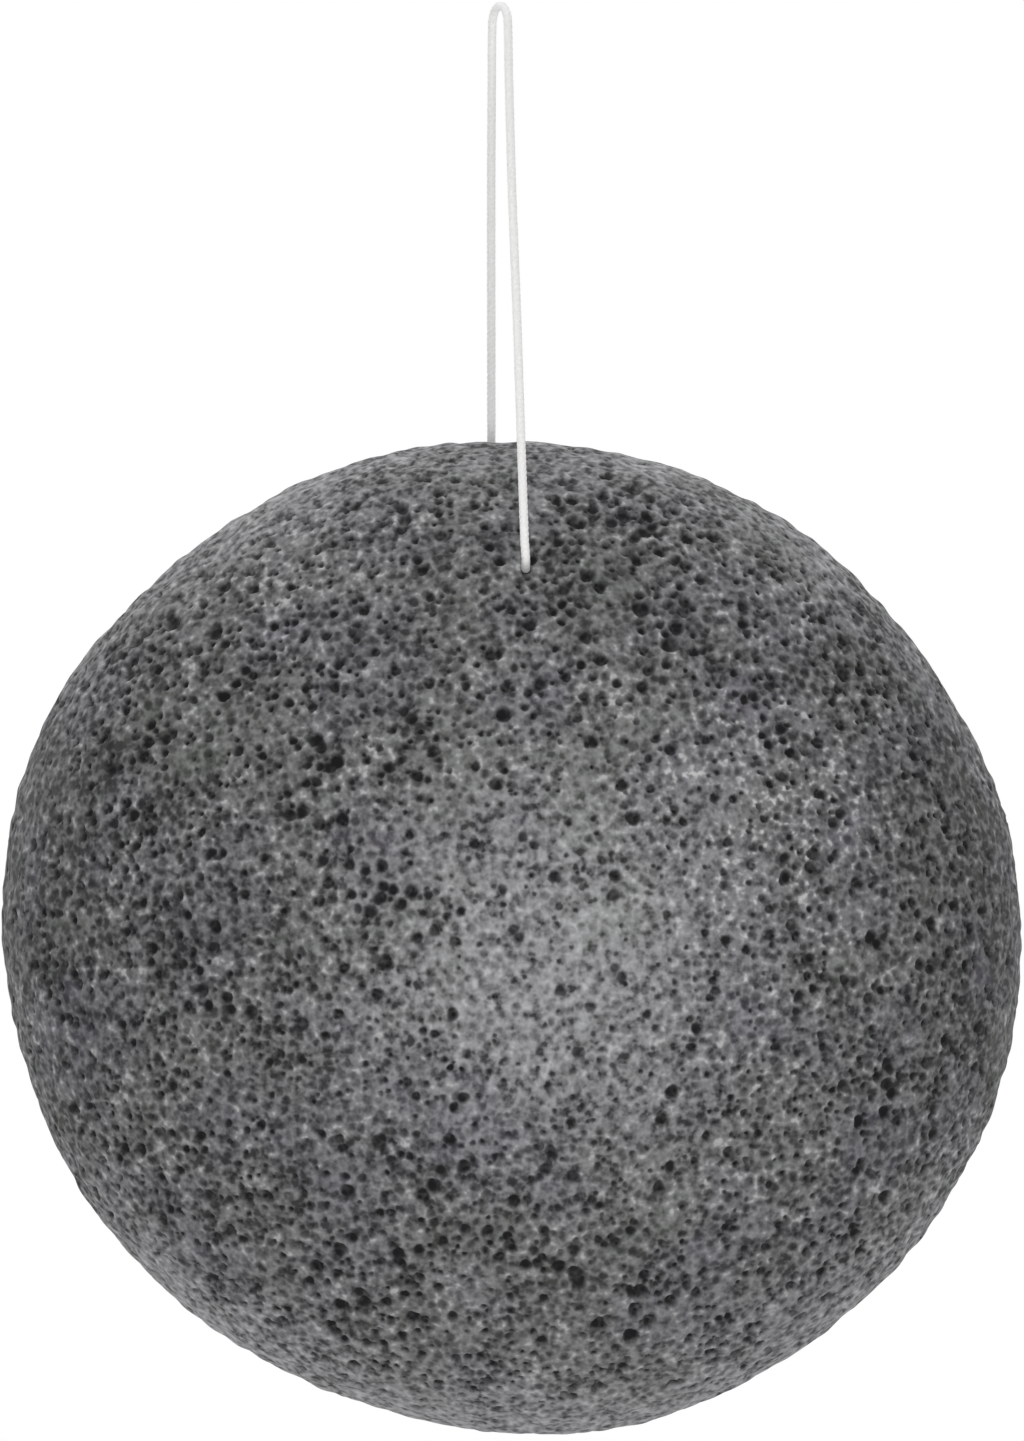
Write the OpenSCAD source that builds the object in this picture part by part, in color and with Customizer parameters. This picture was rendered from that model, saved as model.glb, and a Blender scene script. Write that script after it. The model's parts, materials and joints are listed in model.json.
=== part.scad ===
// Half-ball konjac sponge on a loop of cotton cord, as it hangs from a thin hook.
// Origin: inside top of the loop. +Z is up, +X is to the right, +Y is towards the flat back.

/* [Foam] */
// Diameter of the foam
foam_d = 79.4; // [78:0.1:80]
// Thickness from the flat back to the crown of the dome
foam_t = 34; // [28:0.5:40]
// Radius of the rounded rim at the flat back
rim_r = 6; // [4:0.5:8]
// How far the middle of the foam hangs below the top of the loop
foam_drop = 73; // [73:0.1:75]

/* [Cord] */
// Diameter of the cord
cord_d = 0.7; // [0.5:0.05:0.7]
// Running clearance between the cord and its needle hole
hole_clear = 0.05; // [0.02:0.01:0.1]

/* [Hidden] */

// The hook is above the foam's centre of mass, and the foam's middle is a little to its right
foam_x = 0.9;
back_y = 13.4;

// The needle hole runs along Y
hole_x = 2;
hole_z = -43.8;

dome_h = foam_t - rim_r;
foam_r = foam_d / 2;
dome_steps = 30;

// The stretch of cord in the hole ends just outside the foam, in front and behind
front_y = -11.9;
behind_y = 13.6;

cord_r = cord_d / 2;
tube_sides = 8;

// Free loop: out of the hole in front, up to the hook and over it, down behind and over the rim
loop_route = [
    [2, -11.9, -43.8], [2, -12.15, -43.8], [2, -12.75, -43.6], [2, -13.25, -43.05],
    [1.95, -13.4, -42.3], [1.9, -13.2, -41.4], [1.6, -10.6, -32.5], [1.3, -8, -23.5],
    [0.95, -5.4, -14.5], [0.7, -2.8, -5.5], [0.6, -1.4, -0.75],
    [0.45, -1, -0.1], [0.25, -0.55, 0.25], [0, 0, 0.35], [-0.25, 0.55, 0.25],
    [-0.45, 1, -0.1], [-0.6, 1.4, -0.8], [-0.65, 3.05, -5.6], [-0.7, 6.2, -14.5],
    [-0.7, 9.35, -23.5], [-0.7, 12.35, -32], [-0.7, 13.95, -36.5], [-0.55, 14.35, -37.5]
];

// The two ends are tied in a reef knot, which leans along the way from the hole to the rim
knot_at = [0.4, 14.45, -40.9];
knot_lean = 22;
knot_reach = 1.9;
knot_rise = 0.5;
knot_steps = 16;
// Half widths that the two legs of a bight take along the knot
knot_legs = 0.55;
knot_belly = 0.75;
knot_shoulder = 0.6;

// Points of the two ends in the knot's own frame: along it, across it and away from the foam
upper_start = [[2.75, 0.5, 0.15], [2.3, 0.55, 0.35]];
upper_tail = [
    [2.5, -0.7, 0.65], [3.1, -1, 0.9], [3.5, -1.5, 1.3], [3.65, -2.15, 1.7],
    [3.45, -2.8, 2.05], [2.9, -3.35, 2.25], [2.2, -3.7, 2.3], [1.4, -3.9, 2.25]
];
lower_start = [[-2.6, 0.5, -0.35]];
lower_tail = [
    [-2.5, -0.7, -0.35], [-3.3, -1.05, -0.1], [-4.2, -1.5, 0.1],
    [-5.2, -1.95, 0.2], [-6.2, -2.35, 0.2], [-7.2, -2.7, 0.1]
];
// The lower end comes straight out of the hole and turns up along the foam
hole_exit = [[2, 13.6, -43.8], [2, 13.75, -43.8], [1.9, 14.2, -43.6]];

function unit(v) = v / norm(v);

// Way that the route goes at a point, from the point before it to the point after it
function heading(route, i) =
    unit(route[min(i + 1, len(route) - 1)] - route[max(i - 1, 0)]);

// Side direction of each ring, carried along the route without twist
function side_at(route, i, side) = unit(side - (side * heading(route, i)) * heading(route, i));
function sides_from(route, i, side) =
    i == len(route) ? [] :
    let(next = side_at(route, i, side)) concat([next], sides_from(route, i + 1, next));

function ring(centre, way, side) = [
    for (k = [0 : tube_sides - 1])
        let(turn = 360 * k / tube_sides)
        centre + cord_r * (cos(turn) * side + sin(turn) * cross(way, side))
];

// Closed tube of flat facets along a route, from one of its points to another
module tube(route, from, to) {
    sides = sides_from(route, 0, [1, 0, 0]);
    last = to - from;
    points = [for (i = [from : to]) each ring(route[i], heading(route, i), sides[i])];
    walls = [
        for (i = [0 : last - 1], k = [0 : tube_sides - 1])
            let(a = i * tube_sides + k, b = i * tube_sides + (k + 1) % tube_sides)
            each [[a, a + tube_sides, b + tube_sides], [a, b + tube_sides, b]]
    ];
    start_cap = [for (k = [0 : tube_sides - 1]) k];
    end_cap = [for (k = [tube_sides - 1 : -1 : 0]) last * tube_sides + k];
    polyhedron(points = points, faces = concat([start_cap], walls, [end_cap]));
}

// One bight of the reef knot; the other is its mirror image, the other way up
function bight(flip) = [
    for (k = [0 : knot_steps])
        let(
            turn = 180 - 360 * k / knot_steps,
            half = abs(turn),
            along = -knot_reach * cos(half),
            across = knot_legs * sin(half / 2) + knot_belly * sin(half) + knot_shoulder * sin(2 * half)
        )
        [flip * along, sign(turn) * across, -flip * knot_rise * cos(180 * along / knot_reach)]
];

// From the knot's own frame to the part's
function in_place(p) = knot_at + [
    p.y * cos(knot_lean) - p.x * sin(knot_lean),
    p.z,
    p.x * cos(knot_lean) + p.y * sin(knot_lean)
];
function all_in_place(points) = [for (p = points) in_place(p)];

// The whole way of the cord above the knot, and below it; the loop and the upper end share a ring
upper_way = concat(loop_route, all_in_place(concat(upper_start, bight(1), upper_tail)));
lower_way = concat(hole_exit, all_in_place(concat(lower_start, bight(-1), lower_tail)));
loop_end = len(loop_route);

// Half section of the foam: flat back, round rim, and a quarter of an ellipse for the dome
module foam_section() {
    union() {
        square([foam_r - rim_r, foam_t - dome_h]);
        intersection() {
            translate([foam_r - rim_r, rim_r]) circle(r = rim_r, $fn = 64);
            square([foam_r, rim_r]);
        }
        polygon([
            [0, rim_r],
            for (k = [0 : dome_steps])
                let(turn = 90 * k / dome_steps)
                [foam_r * cos(turn), rim_r + dome_h * sin(turn)]
        ]);
    }
}

module sponge_body() {
    color("dimgray")
    difference() {
        translate([foam_x, back_y, -foam_drop])
            rotate([90, 0, 0])
            rotate_extrude($fn = 120) foam_section();
        translate([hole_x, back_y + 1, hole_z])
            rotate([90, 0, 0])
            cylinder(r = cord_r + hole_clear, h = foam_t + 2, $fn = 48);
    }
}

module cord_in_foam() {
    color("whitesmoke")
    translate([hole_x, behind_y, hole_z])
        rotate([90, 0, 0])
        cylinder(r = cord_r, h = behind_y - front_y, $fn = 48);
}

module hanging_loop() {
    color("white") tube(upper_way, 0, loop_end);
}

module upper_cord_end() {
    color("white") tube(upper_way, loop_end, len(upper_way) - 1);
}

module lower_cord_end() {
    color("white") tube(lower_way, 0, len(lower_way) - 1);
}

sponge_body();
cord_in_foam();
hanging_loop();
upper_cord_end();
lower_cord_end();
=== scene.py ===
import bpy
import bmesh
import json
import math
import numpy as np
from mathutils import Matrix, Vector, kdtree, noise
from mathutils.geometry import interpolate_bezier


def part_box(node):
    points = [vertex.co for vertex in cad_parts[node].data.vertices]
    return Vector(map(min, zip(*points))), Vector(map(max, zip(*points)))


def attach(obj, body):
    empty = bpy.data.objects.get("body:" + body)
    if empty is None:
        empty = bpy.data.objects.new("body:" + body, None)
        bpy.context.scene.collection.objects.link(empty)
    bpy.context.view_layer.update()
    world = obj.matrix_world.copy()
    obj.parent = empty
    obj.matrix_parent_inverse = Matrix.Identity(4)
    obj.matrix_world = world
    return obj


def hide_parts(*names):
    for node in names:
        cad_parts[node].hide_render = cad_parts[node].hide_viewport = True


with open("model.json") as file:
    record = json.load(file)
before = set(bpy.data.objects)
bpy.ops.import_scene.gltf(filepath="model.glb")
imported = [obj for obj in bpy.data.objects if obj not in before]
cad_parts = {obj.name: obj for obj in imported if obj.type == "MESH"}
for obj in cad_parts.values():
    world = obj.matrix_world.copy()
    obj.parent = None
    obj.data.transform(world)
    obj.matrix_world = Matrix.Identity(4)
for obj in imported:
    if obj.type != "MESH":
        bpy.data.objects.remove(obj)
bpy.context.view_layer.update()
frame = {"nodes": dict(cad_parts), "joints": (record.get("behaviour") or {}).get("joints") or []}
foamLow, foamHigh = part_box("sponge_body")
foamMiddle = (foamLow + foamHigh) / 2
holeX, _, holeZ = frame["joints"][0]["pos_m"]    # the foam swings about its needle hole


# Camera, at the photograph's own angle: straight at the dome

photo = {
    "pixelsHigh": 1441,
    "pixelsPerMetre": 12720,
    "middleX": 0.00094,      # what the middle of the picture looks at
    "middleZ": -0.05555,
    "scaleY": 0.0045,        # depth at which the scale holds
    "lens": 300,             # mm
    "sensor": 36,            # mm, along the picture's long side
    "clipStart": 0.05,
    "clipEnd": 20,
}


def placeCamera():
    lensData = bpy.data.cameras.new("photo_camera")
    lensData.lens = photo["lens"]
    lensData.sensor_width = photo["sensor"]
    lensData.clip_start = photo["clipStart"]
    lensData.clip_end = photo["clipEnd"]
    camera = bpy.data.objects.new("photo_camera", lensData)
    distance = photo["pixelsHigh"] / photo["pixelsPerMetre"] * photo["lens"] / photo["sensor"]
    camera.location = (photo["middleX"], photo["scaleY"] - distance, photo["middleZ"])
    camera.rotation_euler = (math.pi / 2, 0, 0)
    bpy.context.scene.collection.objects.link(camera)
    bpy.context.scene.camera = camera


placeCamera()
print("camera is in place")


# Cord: plies of cotton laid together, on the routes that the solids follow

cord = {
    "diameter": 0.0007,
    "plies": 4,
    "layLength": 0.0018,     # one full turn of the plies
    "plyRadius": 0.000225,
    "plyOffset": 0.000125,   # from the cord's middle to a ply's
    "ringStep": 0.00012,
    "bevelSteps": 3,
    "seed": 5,
}

# Out of the hole in front, up to the hook and over it, down behind and over the rim
loopRoute = [
    (0.002, -0.0119, -0.0438), (0.002, -0.01215, -0.0438), (0.002, -0.01275, -0.0436),
    (0.002, -0.01325, -0.04305), (0.00195, -0.0134, -0.0423), (0.0019, -0.0132, -0.0414),
    (0.0016, -0.0106, -0.0325), (0.0013, -0.008, -0.0235), (0.00095, -0.0054, -0.0145),
    (0.0007, -0.0028, -0.0055), (0.0006, -0.0014, -0.00075), (0.00045, -0.001, -0.0001),
    (0.00025, -0.00055, 0.00025), (0, 0, 0.00035), (-0.00025, 0.00055, 0.00025),
    (-0.00045, 0.001, -0.0001), (-0.0006, 0.0014, -0.0008), (-0.00065, 0.00305, -0.0056),
    (-0.0007, 0.0062, -0.0145), (-0.0007, 0.00935, -0.0235), (-0.0007, 0.01235, -0.032),
    (-0.0007, 0.01395, -0.0365), (-0.00055, 0.01435, -0.0375),
]

knot = {
    "at": Vector((0.0004, 0.01445, -0.0409)),
    "lean": math.radians(22),
    "reach": 0.0019,
    "rise": 0.0005,
    "steps": 16,
    "legs": 0.00055,
    "belly": 0.00075,
    "shoulder": 0.0006,
}

# Points of the two ends in the knot's own frame: along it, across it and away from the foam
upperStart = [(0.00275, 0.0005, 0.00015), (0.0023, 0.00055, 0.00035)]
upperTail = [
    (0.0025, -0.0007, 0.00065), (0.0031, -0.001, 0.0009), (0.0035, -0.0015, 0.0013),
    (0.00365, -0.00215, 0.0017), (0.00345, -0.0028, 0.00205), (0.0029, -0.00335, 0.00225),
    (0.0022, -0.0037, 0.0023), (0.0014, -0.0039, 0.00225),
]
lowerStart = [(-0.0026, 0.0005, -0.00035)]
lowerTail = [
    (-0.0025, -0.0007, -0.00035), (-0.0033, -0.00105, -0.0001), (-0.0042, -0.0015, 0.0001),
    (-0.0052, -0.00195, 0.0002), (-0.0062, -0.00235, 0.0002), (-0.0072, -0.0027, 0.0001),
]
holeExit = [(0.002, 0.0136, -0.0438), (0.002, 0.01375, -0.0438), (0.0019, 0.0142, -0.0436)]
threadedRoute = [(holeX, y, holeZ) for y in (0.0136, 0.0072, 0.0008, -0.0056, -0.0119)]


def knotBight(flip):
    bight = []
    for k in range(knot["steps"] + 1):
        turn = math.pi - 2 * math.pi * k / knot["steps"]
        half = abs(turn)
        along = -knot["reach"] * math.cos(half)
        across = knot["legs"] * math.sin(half / 2) + knot["belly"] * math.sin(half)
        across += knot["shoulder"] * math.sin(2 * half)
        out = -knot["rise"] * math.cos(math.pi * along / knot["reach"])
        bight.append((flip * along, math.copysign(across, turn), flip * out))
    return bight


def placeInKnot(points):
    cosine, sine = math.cos(knot["lean"]), math.sin(knot["lean"])
    return [
        knot["at"] + Vector((across * cosine - along * sine, out, along * cosine + across * sine))
        for along, across, out in points
    ]


def smoothRoute(points):
    # A curve through the points, and for each of them its place in the finer line
    stops = [Vector(p) for p in points]
    last = len(stops) - 1
    ways = [(stops[min(i + 1, last)] - stops[max(i - 1, 0)]).normalized() for i in range(last + 1)]
    line = [stops[0]]
    places = [0]
    for i in range(last):
        span = (stops[i + 1] - stops[i]).length
        handleA = stops[i] + ways[i] * span / 3
        handleB = stops[i + 1] - ways[i + 1] * span / 3
        count = max(2, round(span / cord["ringStep"]) + 1)
        line += interpolate_bezier(stops[i], handleA, handleB, stops[i + 1], count)[1:]
        places.append(len(line) - 1)
    return line, places


def layPlies(line):
    # Each ply winds round the cord's line, on a side direction carried along without twist
    last = len(line) - 1
    side = Vector((1, 0, 0))
    travelled = 0
    plies = [[] for _ in range(cord["plies"])]
    for i, point in enumerate(line):
        way = (line[min(i + 1, last)] - line[max(i - 1, 0)]).normalized()
        side = (side - way * side.dot(way)).normalized()
        across = way.cross(side)
        if i:
            travelled += (point - line[i - 1]).length
        for k, ply in enumerate(plies):
            angle = math.tau * (travelled / cord["layLength"] + k / cord["plies"])
            out = side * math.cos(angle) + across * math.sin(angle)
            ply.append((point + out * cord["plyOffset"], 1.0))
    return plies


# Loose fibres at the two cut ends
fray = {
    "fibres": 26,
    "spread": 0.5,
    "length": 0.0011,
    "lengths": (0.45, 1.2),  # least and greatest share of that length
    "scatter": 0.7,          # of their starts, to the plies' own offset
    "back": 0.0002,          # how far inside the cord they start
    "bend": 0.6,
    "stops": (0, 0.25, 0.5, 0.75, 1),
    "thick": 0.26,           # share of the ply's radius at the start
    "taper": 0.16,
}


def frayEnd(line, chance):
    # Fibres that fan out past the cut end
    way = (line[-1] - line[-4]).normalized()
    fibres = []
    for _ in range(fray["fibres"]):
        scatter = Vector(chance.normal(0, cord["plyOffset"] * fray["scatter"], 3))
        start = line[-1] + scatter - way * fray["back"]
        lean = Vector(chance.normal(0, fray["spread"], 3))
        reach = fray["length"] * chance.uniform(*fray["lengths"])
        fibre = []
        for share in fray["stops"]:
            place = start + (way + lean * share * fray["bend"]).normalized() * reach * share
            fibre.append((place, fray["thick"] - fray["taper"] * share))
        fibres.append(fibre)
    return fibres


def spinCord(name, strands):
    # Strands are lists of a place and a share of the ply's radius
    drawn = bpy.data.curves.new(name, "CURVE")
    drawn.dimensions = "3D"
    drawn.bevel_depth = cord["plyRadius"]
    drawn.bevel_resolution = cord["bevelSteps"]
    drawn.use_fill_caps = True
    for strand in strands:
        spline = drawn.splines.new("POLY")
        spline.points.add(len(strand) - 1)
        for spot, (place, share) in zip(spline.points, strand):
            spot.co = (*place, 1)
            spot.radius = share
    holder = bpy.data.objects.new(name + "_line", drawn)
    bpy.context.scene.collection.objects.link(holder)
    evaluated = holder.evaluated_get(bpy.context.evaluated_depsgraph_get())
    mesh = bpy.data.meshes.new_from_object(evaluated)
    bpy.data.objects.remove(holder)
    mesh.name = name
    mesh.shade_smooth()
    piece = bpy.data.objects.new(name, mesh)
    bpy.context.scene.collection.objects.link(piece)
    return piece


def lengthOf(line):
    return sum((b - a).length for a, b in zip(line, line[1:]))


# The CAD nodes that the four pieces of cord take the place of, in the order of the pieces
cordNodes = ("hanging_loop", "upper_cord_end", "lower_cord_end", "cord_in_foam")


def makeCord():
    chance = np.random.default_rng(cord["seed"])
    upperPoints = loopRoute + placeInKnot(upperStart + knotBight(1) + upperTail)
    upperLine, upperPlaces = smoothRoute(upperPoints)
    cut = upperPlaces[len(loopRoute)]
    upperPlies = layPlies(upperLine)
    lowerLine, _ = smoothRoute(holeExit + placeInKnot(lowerStart + knotBight(-1) + lowerTail))
    threadedLine, _ = smoothRoute(threadedRoute)
    freeLoop = spinCord("free_loop", [ply[:cut + 1] for ply in upperPlies])
    upperStrands = [ply[cut:] for ply in upperPlies] + frayEnd(upperLine, chance)
    upperEnd = spinCord("upper_end_of_knot", upperStrands)
    lowerEnd = spinCord("lower_end_of_knot", layPlies(lowerLine) + frayEnd(lowerLine, chance))
    threaded = spinCord("threaded_stretch", layPlies(threadedLine))
    for piece, node in zip((freeLoop, upperEnd, lowerEnd, threaded), cordNodes):
        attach(piece, "cord")
        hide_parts(node)
    loopLine = upperLine[:cut + 1]
    loopLength = lengthOf(loopLine)
    loopLine[::4] + loopLine[-1:]
    lengths = [1000 * lengthOf(line) for line in (loopLine, upperLine[cut:], lowerLine, threadedLine)]
    print("cord: loop %.1f mm, upper end %.1f, lower end %.1f, threaded %.1f" % tuple(lengths))
    return [freeLoop, upperEnd, lowerEnd, threaded]


cordPieces = makeCord()


# Foam: a ball of fine triangles, drawn out to the half ball and then carved with pores

foam = {
    "seed": 11,
    "fineness": 9,
    "rimRadius": 0.006,
    "sectionSteps": 600,
    "domeShare": 0.63,       # of the half turn from the crown to the middle of the back
    "aside": 0.00007,        # the real outline's middle, from the solid's
    "lift": 0.00044,
    "lobes": [               # waves of the outline: number, height to the radius, peak in degrees
        (2, 0.017, -20), (3, 0.0036, 53), (4, 0.0023, -1), (5, 0.0028, 1),
        (6, 0.0016, -16), (7, 0.002, 11), (8, 0.0012, 13),
    ],
    "dish": 0.0005,          # hollow of the flat back
    "lumpHigh": 0.00016,
    "lumpWide": 0.009,
    "creaseHigh": 0.00008,
    "rimCrease": 2,          # how much rougher the rim is
    "creaseWide": 0.0018,
    "creaseShift": 7.3,      # takes the creases from another part of the noise than the lumps
    "noiseLevel": 0.45,      # taken off the noise before it lifts the surface
    "rimStart": (0.72, 0.92),    # where the rim's rougher zone comes in and ends, from the crown
    "rimEnd": (1.04, 1.2),
    "drawn": 0.74,           # cells and pores are longer along the depth, by one over this
    "pitRadius": 0.0004,     # where the cord goes in and comes out
    "pitDeep": 0.0005,
    "pitPaintedShade": 0.25,
}

# The fine cells that the whole surface is made of; their darkness is painted shade
cells = {
    "wide": 0.00078,         # spacing
    "least": 0.16,           # radii, as shares of the spacing
    "most": 0.5,
    "sizePower": 1.5,        # above 1, small ones are commoner
    "softness": 0.28,
    "deep": 0.00004,
    "dark": 0.64,
    "darkLeast": 0.45,       # of that, for the smallest, and what is added for the largest
    "darkMore": 0.55,
    "rimLess": 0.6,          # how much shallower and paler on the rim
    "calmLess": 0.3,         # and in the calm crown
    "wallNarrow": 0.35,
    "wallEdge": (0.3, 0.75),
    "calmWall": 0.12,
    "hash": (12.9898, 78.233, 37.719),    # turns a cell's place into a chance of its own
    "hashScale": 4375.85,
}

# Larger pores by kind: number to a square metre, radii, depth to radius, least and greatest painted shade,
# and how far out from the middle the full painted shade reaches
pores = [
    {"density": 0.13e6, "least": 0.00043, "most": 0.0007, "deep": 0.7, "dark": (0.88, 1.0), "core": 0.6},
    {"density": 0.52e6, "least": 0.00025, "most": 0.00044, "deep": 0.8, "dark": (0.68, 1.0), "core": 0.4},
]

# How those pores are spread and carved
carving = {
    "sizePower": 1.6,
    "patchWide": 0.012,      # patches of larger and of smaller ones
    "patchShift": 31.7,
    "patchy": 0.3,
    "rimFewer": 0.5,
    "rimSmaller": 0.3,
    "rimPaler": 0.45,
    "calmSmaller": 0.18,
    "calmPaler": 0.12,
    "narrowest": 0.75,       # width to length, and what is added to it by chance
    "wider": 0.25,
    "waves": 3,
    "waveHigh": 0.06,
    "search": 1.35,          # this and the next three are in radii, from the pore's middle
    "darkTo": 1.17,
    "apart": 1.1,
    "slideFrom": 0.5,
    "slideNear": 0.3,        # share of the mesh's spacing
    "wallPaler": 0.15,       # how much paler a pore is across a wall
}

# The crown: a painted highlight that makes it paler, and a calm zone with fewer and smaller pores
crownHighlightAndCalm = {
    "middle": (0.0052, -0.0205, -0.0738),
    "heart": 0.002,          # wholly calm as far as this
    "reach": 0.024,
    "ragged": 0.03,
    "fewer": 0.62,
    "highlightPatchMiddle": (0.0205, -0.0165, -0.065),    # a painted highlight patch beside it
    "highlightPatchReach": 0.018,
}


def foamSection():
    # Half section, from the crown over the rim to the middle of the back: radius and depth
    radius = (foamHigh.x - foamLow.x) / 2
    rim = foam["rimRadius"]
    rimY = foamHigh.y - rim
    turn = np.linspace(0, math.pi / 2, foam["sectionSteps"])
    dome = np.stack([radius * np.sin(turn), rimY - (rimY - foamLow.y) * np.cos(turn)], 1)
    edge = np.stack([radius - rim + rim * np.cos(turn), rimY + rim * np.sin(turn)], 1)
    inwards = np.linspace(1, 0, foam["sectionSteps"])
    hollow = foam["dish"] * (1 - inwards ** 2) ** 2
    back = np.stack([(radius - rim) * inwards, foamHigh.y - hollow], 1)
    section = np.concatenate([dome, edge[1:], back[1:]])
    steps = np.hypot(*np.diff(section, axis=0).T)
    return section, np.concatenate([[0], np.cumsum(steps)]), steps[:len(dome) - 1].sum()


def anglesOf(ball):
    # Half turns from the crown, and the angle round it
    return np.arccos(np.clip(-ball[:, 1], -1, 1)) / math.pi, np.arctan2(ball[:, 2], ball[:, 0])


def drawOutBall(ball):
    # Sends each point of the ball to the half ball; also gives the way out of it there
    section, along, domeLength = foamSection()
    fromCrown, around = anglesOf(ball)
    share = foam["domeShare"]
    onDome = fromCrown / share * domeLength
    past = (fromCrown - share) / (1 - share) * (along[-1] - domeLength)
    travelled = np.where(fromCrown < share, onDome, domeLength + past)
    radius = np.interp(travelled, along, section[:, 0])
    depth = np.interp(travelled, along, section[:, 1])
    slope = np.gradient(section, along, axis=0)
    outRadial = np.interp(travelled, along, slope[:, 1])
    outDepth = -np.interp(travelled, along, slope[:, 0])
    stretch = np.ones(len(ball))
    for count, amount, peak in foam["lobes"]:
        stretch += amount * np.cos(count * (around - math.radians(peak)))
    cosine, sine = np.cos(around), np.sin(around)
    place = np.stack([
        foamMiddle.x + foam["aside"] + radius * stretch * cosine,
        depth,
        foamMiddle.z + foam["lift"] + radius * stretch * sine,
    ], 1)
    out = np.stack([outRadial * cosine, outDepth, outRadial * sine], 1)
    out /= np.linalg.norm(out, axis=1)[:, None]
    return place, out, travelled / domeLength


def noiseAt(places, wide, shift=0.0):
    return np.array([noise.noise(p) for p in (places / wide + shift).tolist()])


def triangleShares(places, corners):
    # Each vertex's share of the surface
    a, b, c = (places[corners[:, k]] for k in range(3))
    area = np.linalg.norm(np.cross(b - a, c - a), axis=1) / 2
    shares = np.zeros(len(places))
    for k in range(3):
        np.add.at(shares, corners[:, k], area / 3)
    return shares


def smoothStep(value, low, high):
    share = np.clip((value - low) / (high - low), 0, 1)
    return share * share * (3 - 2 * share)


def pressCells(places, rimward, calm):
    # The foam's own fine cells, cut open by the surface: how deep each point is, and how dark with painted
    # shade
    drawn = places * (1, foam["drawn"], 1)
    near = [noise.voronoi(p) for p in (drawn / cells["wide"]).tolist()]
    distance = np.array([n[0][0] for n in near])
    second = np.array([n[0][1] for n in near])
    centre = np.array([n[1][0] for n in near])
    chance = np.modf(np.abs(np.sin(centre @ cells["hash"])) * cells["hashScale"])[0]
    radius = cells["least"] + (cells["most"] - cells["least"]) * chance ** cells["sizePower"]
    hollow = 1 - smoothStep(distance, radius - cells["softness"], radius + cells["softness"])
    hollow *= (1 - cells["rimLess"] * rimward) * (1 - cells["calmLess"] * calm)
    wall = smoothStep(distance - cells["wallNarrow"] * (second - distance), *cells["wallEdge"])
    wall *= 1 - cells["calmWall"] * calm
    dark = hollow * cells["dark"] * (cells["darkLeast"] + cells["darkMore"] * chance)
    return hollow * cells["deep"], dark, wall


def carvePores(places, shares, rimward, calm):
    # The larger pores, as round hollows: how deep, how dark with painted shade, and how far each point
    # slides aside
    chance = np.random.default_rng(foam["seed"])
    drawn = places * (1, foam["drawn"], 1)
    tree = kdtree.KDTree(len(places))
    for index, place in enumerate(drawn.tolist()):
        tree.insert(place, index)
    tree.balance()
    sunk = np.zeros(len(places))
    dark = np.zeros(len(places))
    slid = np.zeros_like(places)
    taken = np.zeros(len(places), bool)
    coarse = noiseAt(places, carving["patchWide"], carving["patchShift"])
    spacing = math.sqrt(shares.mean())
    made = 0
    for kind in pores:
        count = int(kind["density"] * shares.sum())
        seeds = chance.choice(len(places), count, replace=False, p=shares / shares.sum())
        rolls = chance.uniform(0, 1, (count, 5))
        for seed, (size, turn, flat, wave, tone) in zip(seeds, rolls):
            rimHere, calmHere = rimward[seed], calm[seed]
            if taken[seed] or tone < max(carving["rimFewer"] * rimHere, crownHighlightAndCalm["fewer"] * calmHere):
                continue
            radius = kind["least"] + (kind["most"] - kind["least"]) * size ** carving["sizePower"]
            change = (1 + carving["patchy"] * coarse[seed]) * (1 - carving["rimSmaller"] * rimHere)
            radius *= change * (1 - carving["calmSmaller"] * calmHere)
            found = tree.find_range(drawn[seed], radius * carving["search"])
            near = np.array([item[1] for item in found])
            away = places[near] - places[seed]
            flatWay = drawn[near] - drawn[seed]
            cosine, sine = math.cos(math.tau * turn), math.sin(math.tau * turn)
            along = flatWay @ (cosine, 0, sine)
            across = flatWay @ (-sine, 0, cosine) / (carving["narrowest"] + carving["wider"] * flat)
            around = np.arctan2(across, along)
            reach = np.sqrt(along ** 2 + across ** 2 + flatWay[:, 1] ** 2) / radius
            reach *= 1 + carving["waveHigh"] * np.sin(carving["waves"] * around + math.tau * wave)
            within = reach < 1
            inner = near[within]
            bowl = np.sqrt(1 - reach[within] ** 2)
            least, most = kind["dark"]
            sunk[inner] = np.maximum(sunk[inner], kind["deep"] * radius * bowl)
            shade = (least + (most - least) * tone) * (1 - carving["rimPaler"] * rimHere)
            shade *= 1 - carving["calmPaler"] * calmHere
            fade = smoothStep(reach, kind["core"], carving["darkTo"])
            dark[near] = np.maximum(dark[near], shade * (1 - fade))
            atEdge = np.abs(reach - 1) * radius < carving["slideNear"] * spacing
            edge = atEdge & (reach > carving["slideFrom"])
            slid[near[edge]] = (away[edge].T * (1 / reach[edge] - 1)).T
            taken[near[reach < carving["apart"]]] = True
            made += 1
    print("foam: %d larger pores" % made)
    return sunk, dark, slid


def sinkPits(places, out, dark):
    # The needle hole's mouths, in front and behind, sunk and with painted shade in them
    aside = np.hypot(places[:, 0] - holeX, places[:, 2] - holeZ)
    within = np.clip(1 - (aside / foam["pitRadius"]) ** 2, 0, 1)
    places = places - out * (foam["pitDeep"] * np.sqrt(within))[:, None]
    return places, np.maximum(dark, foam["pitPaintedShade"] * np.minimum(1, within * 2))


# The two round charts of the foam's UV map
charts = {
    "seam": 0.04,            # half turns past the dome's own edge
    "frontTurn": 0.7,        # half turns that the chart's radius stands for
    "frontRadius": 0.345,
    "frontMiddle": 0.35,
    "backTurn": 0.34,
    "backRadius": 0.145,
    "backMiddle": 0.85,
}


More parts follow.
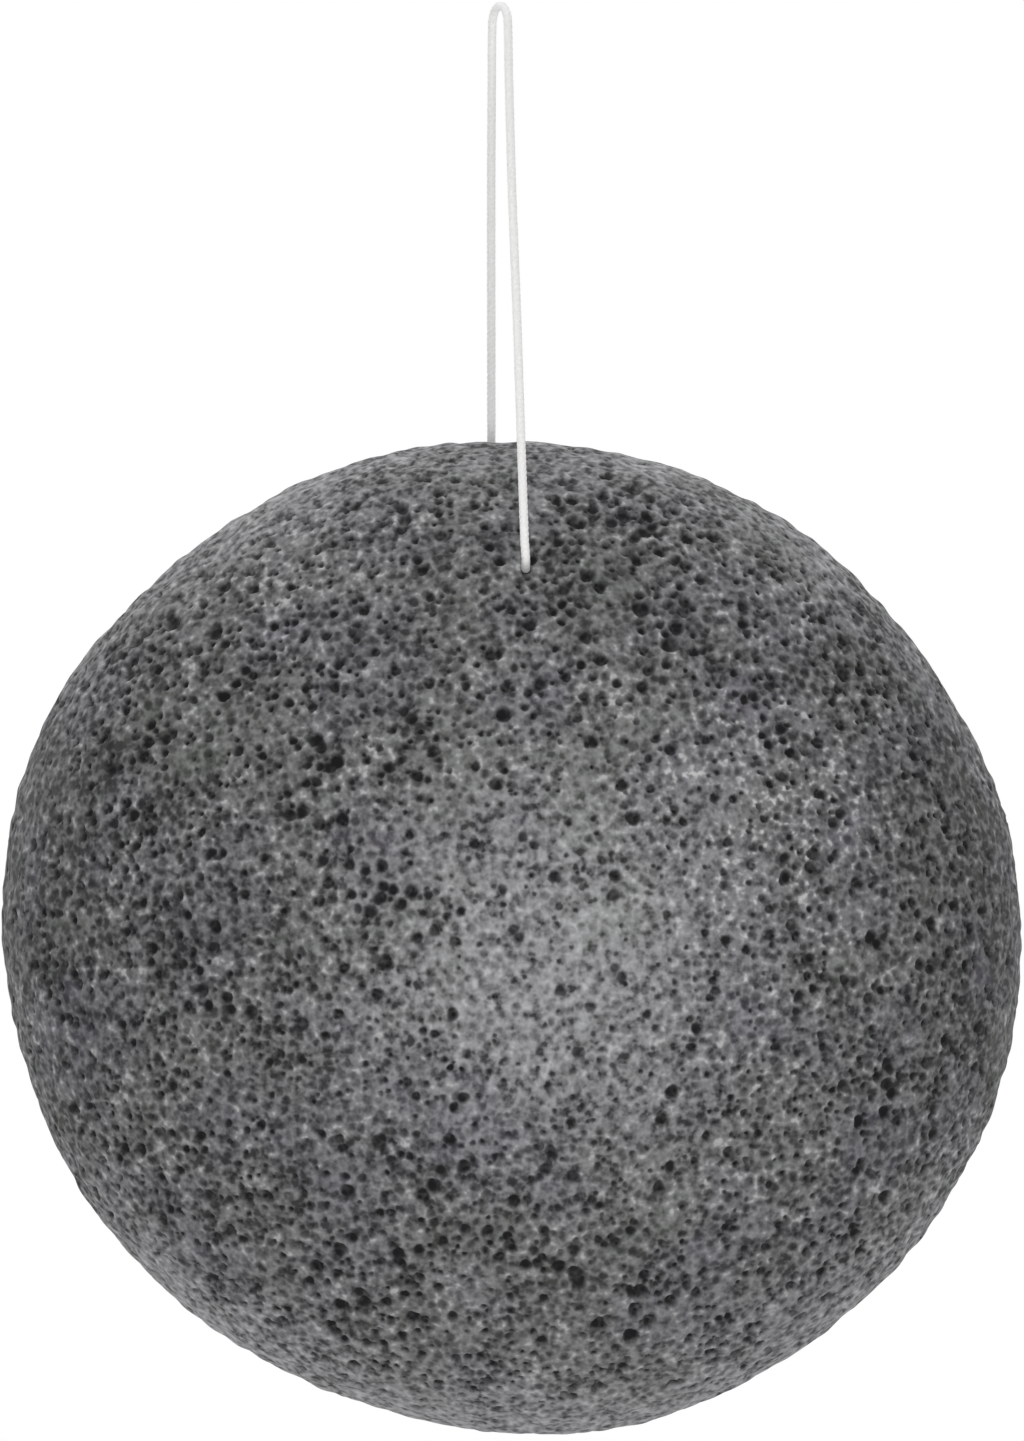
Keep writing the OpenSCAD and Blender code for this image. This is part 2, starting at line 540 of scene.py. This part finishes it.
def spreadForBaking(mesh, ball, corners):
    # A large chart of the front and a small one of the back
    fromCrown, around = anglesOf(ball)
    front = fromCrown[corners].mean(1) < foam["domeShare"] + charts["seam"]
    turn = around[corners]
    frontReach = fromCrown[corners] / charts["frontTurn"] * charts["frontRadius"]
    backReach = (1 - fromCrown[corners]) / charts["backTurn"] * charts["backRadius"]
    spread = np.where(front[:, None], frontReach, backReach)
    middle = np.where(front, charts["frontMiddle"], charts["backMiddle"])[:, None]
    flip = np.where(front, 1, -1)[:, None]
    places = np.stack([middle + spread * np.cos(turn) * flip, middle + spread * np.sin(turn)], 2)
    layer = mesh.uv_layers.new(name="OFBake")
    layer.uv.foreach_set("vector", places.astype(np.float32).ravel())


def makeFoam():
    ballMesh = bmesh.new()
    bmesh.ops.create_icosphere(ballMesh, subdivisions=foam["fineness"], radius=1)
    mesh = bpy.data.meshes.new("foam_body")
    ballMesh.to_mesh(mesh)
    ballMesh.free()
    count = len(mesh.vertices)
    flat = np.empty(count * 3, np.float32)
    mesh.vertices.foreach_get("co", flat)
    ball = flat.reshape(-1, 3).astype(float)
    corners = np.empty(len(mesh.loops), np.int32)
    mesh.loops.foreach_get("vertex_index", corners)
    corners = corners.reshape(-1, 3)
    places, out, travelled = drawOutBall(ball)
    lumps = foam["lumpHigh"] * (noiseAt(places, foam["lumpWide"]) - foam["noiseLevel"])
    rimward = smoothStep(travelled, *foam["rimStart"]) * (1 - smoothStep(travelled, *foam["rimEnd"]))
    creases = foam["creaseHigh"] * (1 + foam["rimCrease"] * rimward)
    lumps += creases * (noiseAt(places, foam["creaseWide"], foam["creaseShift"]) - foam["noiseLevel"])
    shares = triangleShares(places, corners)
    places = places + out * lumps[:, None]
    fromBloom = np.linalg.norm(places - crownHighlightAndCalm["middle"], axis=1)
    calm = 1 - smoothStep(fromBloom, crownHighlightAndCalm["heart"], crownHighlightAndCalm["reach"])
    cellSunk, cellDark, wall = pressCells(places, rimward, calm)
    sunk, dark, slid = carvePores(places, shares, rimward, calm)
    sunk = sunk + cellSunk
    # Painted shade of the pores and cells together, a little paler across the walls
    dark = np.maximum(dark * (1 - carving["wallPaler"] * wall), cellDark)
    places, dark = sinkPits(places + slid - out * sunk[:, None], out, dark)
    mesh.vertices.foreach_set("co", places.astype(np.float32).ravel())
    for name, values in (("paintedPoreShade", dark), ("wallLight", wall), ("fromCrown", travelled)):
        layer = mesh.attributes.new(name, "FLOAT", "POINT")
        layer.data.foreach_set("value", values.astype(np.float32))
    spreadForBaking(mesh, ball, corners)
    mesh.shade_smooth()
    mesh.update()
    piece = bpy.data.objects.new("foam_body", mesh)
    bpy.context.scene.collection.objects.link(piece)
    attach(piece, "sponge")
    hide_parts("sponge_body")
    print("foam: %d vertices" % count)
    return piece


foamPiece = makeFoam()


# Finishes

foamColours = {
    "wall": (0.27, 0.272, 0.276, 1),
    "shade": (0.03, 0.0305, 0.031, 1),
    # Painted shade in the pores, cells, pits and pinholes
    "hollow": (0.01, 0.01, 0.011, 1),
    # Painted highlight on the crown and painted rim light
    "paintedHighlight": (0.42, 0.422, 0.432, 1),
    # Painted glints
    "paintedGlint": (0.5, 0.5, 0.5, 1),
    "violet": (0.19, 0.175, 0.215, 1),
    "green": (0.16, 0.18, 0.15, 1),
}


class Wire:
    # A socket that takes part in sums: each operator adds a Math node
    def __init__(self, finish, socket):
        self.finish = finish
        self.socket = socket

    def math(self, operation, *values):
        return self.finish.node("ShaderNodeMath", {"operation": operation}, dict(enumerate(values)))

    def __add__(self, other):
        return self.math("ADD", self, other)

    def __radd__(self, other):
        return self.math("ADD", other, self)

    def __sub__(self, other):
        return self.math("SUBTRACT", self, other)

    def __rsub__(self, other):
        return self.math("SUBTRACT", other, self)

    def __mul__(self, other):
        return self.math("MULTIPLY", self, other)

    def __rmul__(self, other):
        return self.math("MULTIPLY", other, self)

    def clamped(self):
        return self.finish.node("ShaderNodeClamp", {}, {"Value": self})


class Finish:
    # The node tree of a material or a world
    def __init__(self, owner):
        owner.use_nodes = True
        self.owner = owner
        self.tree = owner.node_tree
        self.tree.nodes.clear()

    def node(self, kind, settings, sockets, out=0):
        # Settings are set first, because some of them change which sockets there are
        made = self.tree.nodes.new(kind)
        for name, value in settings.items():
            setattr(made, name, value)
        for name, value in sockets.items():
            if isinstance(value, Wire):
                self.tree.links.new(value.socket, made.inputs[name])
            else:
                made.inputs[name].default_value = value
        return Wire(self, made.outputs[out]) if len(made.outputs) else made

    def blendColours(self, share, colourA, colourB):
        return self.node("ShaderNodeMix", {"data_type": "RGBA"}, {0: share, 6: colourA, 7: colourB}, 2)

    def ramp(self, value, low, high):
        # 0 below low, 1 above high, and smooth between them
        return self.node("ShaderNodeMapRange", {"interpolation_type": "SMOOTHSTEP"}, {
            "Value": value,
            "From Min": low,
            "From Max": high,
        })

    def distance(self, place, spot):
        settings = {"operation": "DISTANCE"}
        return self.node("ShaderNodeVectorMath", settings, {0: place, 1: spot}, "Value")

    def attribute(self, name):
        return self.node("ShaderNodeAttribute", {"attribute_name": name}, {}, "Fac")

    def seenRays(self):
        # 1 for what the camera sees, straight or in something shiny or clear
        seen = 0
        for kind in stage["seenBy"]:
            seen = seen + self.node("ShaderNodeLightPath", {}, {}, "Is %s Ray" % kind)
        return seen.clamped()


# Noises as socket values, zones as the values between which a ramp goes from 0 to 1
foamLook = {
    "grain": {"Scale": 2400, "Detail": 1, "Roughness": 0.5},
    "knots": {"Scale": 1500, "Detail": 1},
    "blotch": {"Scale": 260, "Detail": 3, "Roughness": 0.65},
    "cloud": {"Scale": 80, "Detail": 1},
    "tint": {"Scale": 130, "Detail": 4},
    "pinholes": {"Scale": 2000},
    "pinholeEdge": (0.12, 0.48),
    "pinholeChance": (0.25, 0.9),
    "noiseMean": 0.5,
    "level": 0.535,
    "wallLift": 0.34,
    "grainLift": 0.95,
    "knotLift": 1.5,
    "blotchLift": 1.15,
    "cloudLift": 0.3,
    "highlightPatchLift": 0.15,
    "uprightZone": (0.008, 0.036),    # metres above or below the foam's middle
    "belowZone": (-0.034, 0),
    "dimmer": 0.09,
    # Shares of painted shade and painted light by place on the foam
    "paintedShadeOffCrown": 0.155,
    "crownZone": (0.08, 0.37),        # from the crown, where the dome's edge is 1
    "paintedLightBelow": 0.075,
    "paintedSideShade": 0.14,
    "uprightLess": 0.13,
    "sideZone": (0.5, 0.8),
    "sideEnd": (0.95, 1.1),
    "tintShare": 0.3,
    "violetZone": (0.45, 0.75),
    "greenZone": (0.25, 0.55),
    # Share of the painted crown highlight
    "crownHighlightShare": 0.6,
    "rimZone": (0.62, 0.98),
    "rimEnd": (1.05, 1.2),
    "paintedRimLight": 0.12,
    "paintedRimLightUpright": 0.64,
    "paintedRimLightBelow": 0.3,
    "paleLeast": 0.05,
    "paleByLight": 1.05,
    "patchGlintBlotch": 0.6,
    "patchGlintZone": (0.57, 0.72),
    "patchGlintGrain": (0.35, 0.6),
    "patchGlintShare": 0.75,
    "glintZone": (0.98, 1.4),
    "glintShare": 0.6,
    "poreShare": 1.05,
    "pinholeShare": 0.2,
    "pinholeDeep": 0.5,
    "bumpStrength": 0.4,
    "bumpDistance": 0.00003,
    "roughness": 0.86,
    "poreRougher": 0.12,
}


def foamFinish():
    f = Finish(bpy.data.materials.new("konjac_foam"))
    look = foamLook
    mean = look["noiseMean"]
    place = f.node("ShaderNodeTexCoord", {}, {}, "Object")
    pore = f.attribute("paintedPoreShade")
    wall = f.attribute("wallLight")
    crown = f.attribute("fromCrown")
    drawn = f.node("ShaderNodeVectorMath", {"operation": "MULTIPLY"}, {0: place, 1: (1, foam["drawn"], 1)})
    grain = f.node("ShaderNodeTexNoise", {}, {"Vector": drawn, **look["grain"]})
    knots = f.node("ShaderNodeTexNoise", {}, {"Vector": drawn, **look["knots"]})
    blotch = f.node("ShaderNodeTexNoise", {}, {"Vector": drawn, **look["blotch"]})
    cloud = f.node("ShaderNodeTexNoise", {}, {"Vector": place, **look["cloud"]})
    broad = f.node("ShaderNodeTexNoise", {}, {"Vector": place, **look["tint"]}, "Color")
    tints = f.node("ShaderNodeSeparateColor", {}, {"Color": broad}, "Red")
    holes = f.node("ShaderNodeTexVoronoi", {}, {"Vector": drawn, **look["pinholes"]}, "Color")
    chance = f.node("ShaderNodeSeparateColor", {}, {"Color": holes}, "Red")
    fromHole = f.node("ShaderNodeTexVoronoi", {}, {"Vector": drawn, **look["pinholes"]})
    pinhole = (1 - f.ramp(fromHole, *look["pinholeEdge"])) * f.ramp(chance, *look["pinholeChance"])

    # Relief stands for how much light each wall and grain catches
    ragged = crownHighlightAndCalm["ragged"] * (blotch - mean)
    # Painted highlight: a lighter patch beside the crown, which lifts the light and carries painted glints
    paintedHighlightPatch = 1 - f.ramp(f.distance(place, crownHighlightAndCalm["highlightPatchMiddle"]) + ragged, crownHighlightAndCalm["heart"], crownHighlightAndCalm["highlightPatchReach"])
    relief = look["level"] + look["wallLift"] * wall
    lifts = ((grain, "grainLift"), (knots, "knotLift"), (blotch, "blotchLift"), (cloud, "cloudLift"))
    for texture, lift in lifts:
        relief = relief + look[lift] * (texture - mean)
    relief = relief + look["highlightPatchLift"] * paintedHighlightPatch

    # Painted shade: away from the crown the foam is darker, and the sides between crown and rim darker
    # still. Painted light: the lower part is lighter, and the rim is paler at the top and bottom
    height = f.node("ShaderNodeSeparateXYZ", {}, {0: place}, "Z") - foamMiddle.z
    offMiddle = f.node("ShaderNodeMath", {"operation": "ABSOLUTE"}, {0: height})
    upright = f.ramp(offMiddle, *look["uprightZone"])
    below = 1 - f.ramp(height, *look["belowZone"])
    # Painted shade away from the crown, and painted light on the lower part
    light = relief - look["dimmer"] - look["paintedShadeOffCrown"] * f.ramp(crown, *look["crownZone"])
    light = light + look["paintedLightBelow"] * below
    # Painted shade on the sides between crown and rim, less of it at the top and bottom
    dimmer = look["paintedSideShade"] - look["uprightLess"] * upright
    light = light - dimmer * f.ramp(crown, *look["sideZone"]) * (1 - f.ramp(crown, *look["sideEnd"]))
    light = light.clamped()
    # Painted highlight: the crown is paler round its middle, with a ragged edge
    paintedCrownHighlight = 1 - f.ramp(f.distance(place, crownHighlightAndCalm["middle"]) + ragged, 0, crownHighlightAndCalm["reach"])
    # Painted rim light, a little all round and most at the top and bottom
    rim = f.ramp(crown, *look["rimZone"]) * (1 - f.ramp(crown, *look["rimEnd"]))
    rim = rim * (look["paintedRimLight"] + look["paintedRimLightUpright"] * upright + look["paintedRimLightBelow"] * below)
    # Painted light: the crown highlight and the rim light, stronger where the painted light is higher
    paintedHighlight = (paintedCrownHighlight * look["crownHighlightShare"] + rim) * (look["paleLeast"] + look["paleByLight"] * light)

    # Painted glints: white dots where the painted light is highest, and more of them in the painted
    # highlight patch
    paintedPatchGlints = f.ramp(knots + look["patchGlintBlotch"] * (blotch - mean), *look["patchGlintZone"])
    paintedPatchGlints = paintedPatchGlints * f.ramp(grain, *look["patchGlintGrain"])
    paintedGlint = f.ramp(relief, *look["glintZone"]) * look["glintShare"] + paintedHighlightPatch * paintedPatchGlints * look["patchGlintShare"]
    # Painted shade in the pores, cells, needle-hole pits and pinholes
    dark = pore * look["poreShare"] + pinhole * look["pinholeShare"]
    colour = f.blendColours(light, foamColours["shade"], foamColours["wall"])
    for share, tone in (
        (f.ramp(tints, *look["violetZone"]) * look["tintShare"], "violet"),
        ((1 - f.ramp(tints, *look["greenZone"])) * look["tintShare"], "green"),
        (paintedHighlight, "paintedHighlight"),
        (paintedGlint.clamped(), "paintedGlint"),
        (dark.clamped(), "hollow"),
    ):
        colour = f.blendColours(share, colour, foamColours[tone])
    bump = f.node("ShaderNodeBump", {}, {
        "Height": grain - look["pinholeDeep"] * pinhole,
        "Strength": look["bumpStrength"],
        "Distance": look["bumpDistance"],
    })
    surface = f.node("ShaderNodeBsdfPrincipled", {}, {
        "Base Color": colour,
        "Roughness": look["roughness"] + look["poreRougher"] * pore,
        "Specular IOR Level": 0.12,
        "Sheen Weight": 0.04,
        "Sheen Roughness": 0.6,
        "Normal": bump,
    })
    f.node("ShaderNodeOutputMaterial", {}, {"Surface": surface})
    return f.owner


cottonLook = {
    "fibres": {"Scale": 9000, "Detail": 3, "Roughness": 0.6},
    "fibreMean": 0.5,
    "fibreZone": (0.3, 0.7),
    "dull": (0.81, 0.81, 0.8, 1),
    "bright": (0.9, 0.9, 0.89, 1),
    "paintedMouthShade": (0.12, 0.12, 0.12, 1),
    "mouthShadeShare": 0.65,
    "mouthShadeRagged": 0.0006,
    "mouthShadeZone": (0.0006, 0.0022),    # metres from the hole's mouth
    "bumpStrength": 0.4,
    "bumpDistance": 0.00002,
}


def cottonFinish():
    f = Finish(bpy.data.materials.new("cotton_cord"))
    look = cottonLook
    place = f.node("ShaderNodeTexCoord", {}, {}, "Object")
    fibres = f.node("ShaderNodeTexNoise", {}, {"Vector": place, **look["fibres"]})
    colour = f.blendColours(f.ramp(fibres, *look["fibreZone"]), look["dull"], look["bright"])
    for mouth in (loopRoute[0], holeExit[0]):    # painted shade where it goes into and comes out of the foam
        away = f.distance(place, mouth) + look["mouthShadeRagged"] * (fibres - look["fibreMean"])
        paintedMouthShade = 1 - f.ramp(away, *look["mouthShadeZone"])
        colour = f.blendColours(paintedMouthShade * look["mouthShadeShare"], colour, look["paintedMouthShade"])
    bump = f.node("ShaderNodeBump", {}, {
        "Height": fibres,
        "Strength": look["bumpStrength"],
        "Distance": look["bumpDistance"],
    })
    surface = f.node("ShaderNodeBsdfPrincipled", {}, {
        "Base Color": colour,
        "Roughness": 0.85,
        "Specular IOR Level": 0.3,
        "Sheen Weight": 0.2,
        "Sheen Roughness": 0.5,
        "Normal": bump,
    })
    f.node("ShaderNodeOutputMaterial", {}, {"Surface": surface})
    return f.owner


def putOn(material, pieces):
    for piece in pieces:
        piece.data.materials.clear()
        piece.data.materials.append(material)


nodes = frame["nodes"]
putOn(foamFinish(), [foamPiece, nodes["sponge_body"]])
putOn(cottonFinish(), cordPieces + [nodes[name] for name in cordNodes])
print("finishes are on")


# Stage: a pale round floor that fades out, and a white surround

stage = {
    "floorBelow": 0.035,
    "floorRadius": 0.26,
    "fadeFrom": 0.11,
    "floorSides": 64,
    "floorColour": (0.8, 0.8, 0.8, 1),
    "floorGlow": 0.36,
    "white": (1, 1, 1, 1),
    "ambient": 0.44,         # what the surround gives as light, where it shows as 1
    "seenBy": ("Camera", "Glossy", "Transmission"),
}

# Place, width, and how brightly a white card at the foam's middle would show
lamps = {
    "key_lamp": ((0.01, -0.35, -0.06), 0.14, 0.48),
    "top_lamp": ((-0.1, 0.09, 0.55), 0.3, 0.44),
    "low_lamp": ((0.06, 0.02, -0.68), 0.3, 0.72),
    "left_lamp": ((-0.55, 0.5, -0.02), 0.4, 0.28),
    "right_lamp": ((0.6, 0.4, -0.02), 0.4, 0.22),
}


def layFloor():
    disc = bmesh.new()
    bmesh.ops.create_circle(disc, cap_ends=True, radius=stage["floorRadius"], segments=stage["floorSides"])
    middle = (foamMiddle.x, 0, foamLow.z - stage["floorBelow"])
    bmesh.ops.translate(disc, verts=disc.verts, vec=middle)
    mesh = bpy.data.meshes.new("floor")
    disc.to_mesh(mesh)
    disc.free()
    floor = bpy.data.objects.new("floor", mesh)
    bpy.context.scene.collection.objects.link(floor)
    f = Finish(bpy.data.materials.new("pale_floor"))
    place = f.node("ShaderNodeTexCoord", {}, {}, "Object")
    flatPlace = f.node("ShaderNodeVectorMath", {"operation": "MULTIPLY"}, {0: place, 1: (1, 1, 0)})
    reach = f.node("ShaderNodeVectorMath", {"operation": "LENGTH"}, {0: flatPlace}, "Value")
    underneath = f.node("ShaderNodeNewGeometry", {}, {}, "Backfacing")
    mat = f.node("ShaderNodeBsdfDiffuse", {}, {"Color": stage["floorColour"]})
    strength = f.seenRays() * stage["floorGlow"]
    glow = f.node("ShaderNodeEmission", {}, {"Color": stage["white"], "Strength": strength})
    lit = f.node("ShaderNodeAddShader", {}, {0: mat, 1: glow})
    clear = f.node("ShaderNodeBsdfTransparent", {}, {})
    away = f.ramp(reach, stage["fadeFrom"], stage["floorRadius"])
    gone = f.node("ShaderNodeMath", {"operation": "MAXIMUM"}, {0: away, 1: underneath})
    surface = f.node("ShaderNodeMixShader", {}, {0: gone, 1: lit, 2: clear})
    f.node("ShaderNodeOutputMaterial", {}, {"Surface": surface})
    mesh.materials.append(f.owner)


def lightWorld():
    f = Finish(bpy.data.worlds.new("white_surround"))
    strength = f.seenRays() * (1 - stage["ambient"]) + stage["ambient"]
    sky = f.node("ShaderNodeBackground", {}, {"Color": stage["white"], "Strength": strength})
    f.node("ShaderNodeOutputWorld", {}, {"Surface": sky})
    bpy.context.scene.world = f.owner


def hangLamp(name, place, size, level):
    aim = Vector((foamMiddle.x, 0, foamMiddle.z))
    lampData = bpy.data.lights.new(name, "AREA")
    lampData.shape = "DISK"
    lampData.size = size
    lampData.energy = level * math.pi ** 2 * (place - aim).length_squared
    lamp = bpy.data.objects.new(name, lampData)
    lamp.location = place
    lamp.rotation_euler = (aim - place).to_track_quat("-Z", "Y").to_euler()
    lamp.visible_camera = False
    bpy.context.scene.collection.objects.link(lamp)


layFloor()
lightWorld()
for name, (place, size, level) in lamps.items():
    hangLamp(name, Vector(place), size, level)
bpy.context.scene.view_settings.view_transform = "Standard"
print("stage is lit")
